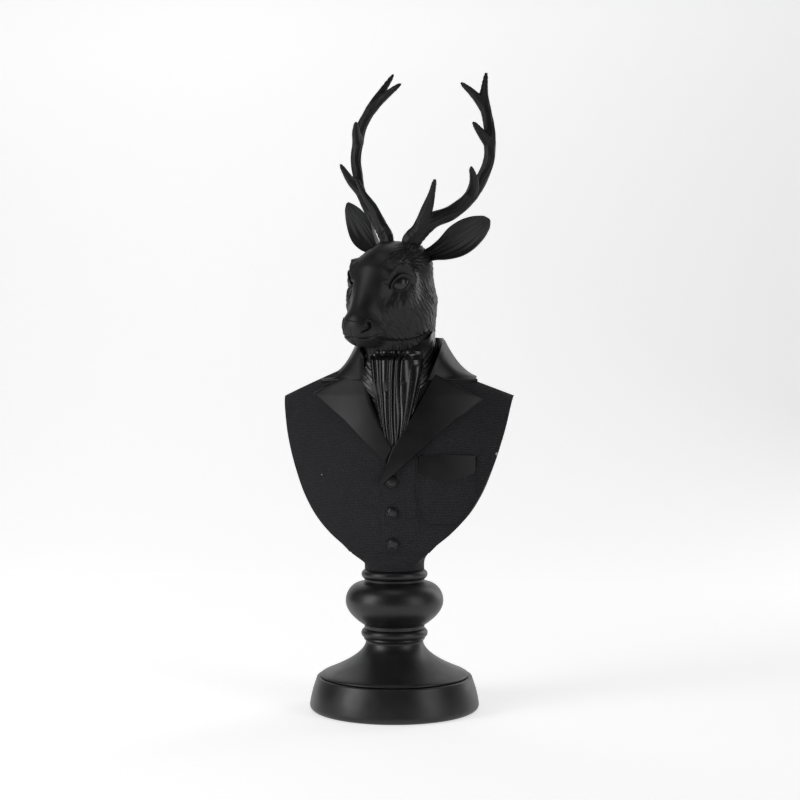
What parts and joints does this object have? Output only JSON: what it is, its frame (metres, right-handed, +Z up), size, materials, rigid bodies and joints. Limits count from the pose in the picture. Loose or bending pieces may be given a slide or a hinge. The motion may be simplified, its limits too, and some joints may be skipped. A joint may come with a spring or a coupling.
{
  "type": "deer bust",
  "caption": "Black cast-resin bust of a stag in a tweed jacket with satin lapels and a pleated cravat, on a round turned pedestal",
  "frame": {"origin": "centre of the pedestal's underside", "axes": "+Z up, the chest faces -Y, the deer's left is +X"},
  "size_m": [0.223, 0.16, 0.6115],
  "materials": {
    "satin_resin": "smooth satin black paint on cast resin",
    "matt_resin": "matt black paint on cast resin, woven relief on the jacket and carved fur on the head",
    "antler_resin": "satin black paint on cast resin with lengthwise grooves"
  },
  "bodies": {
    "root": {"pedestal": "satin_resin", "bust": "matt_resin", "antler_left": "antler_resin", "antler_right": "antler_resin"}
  },
  "joints": []
}
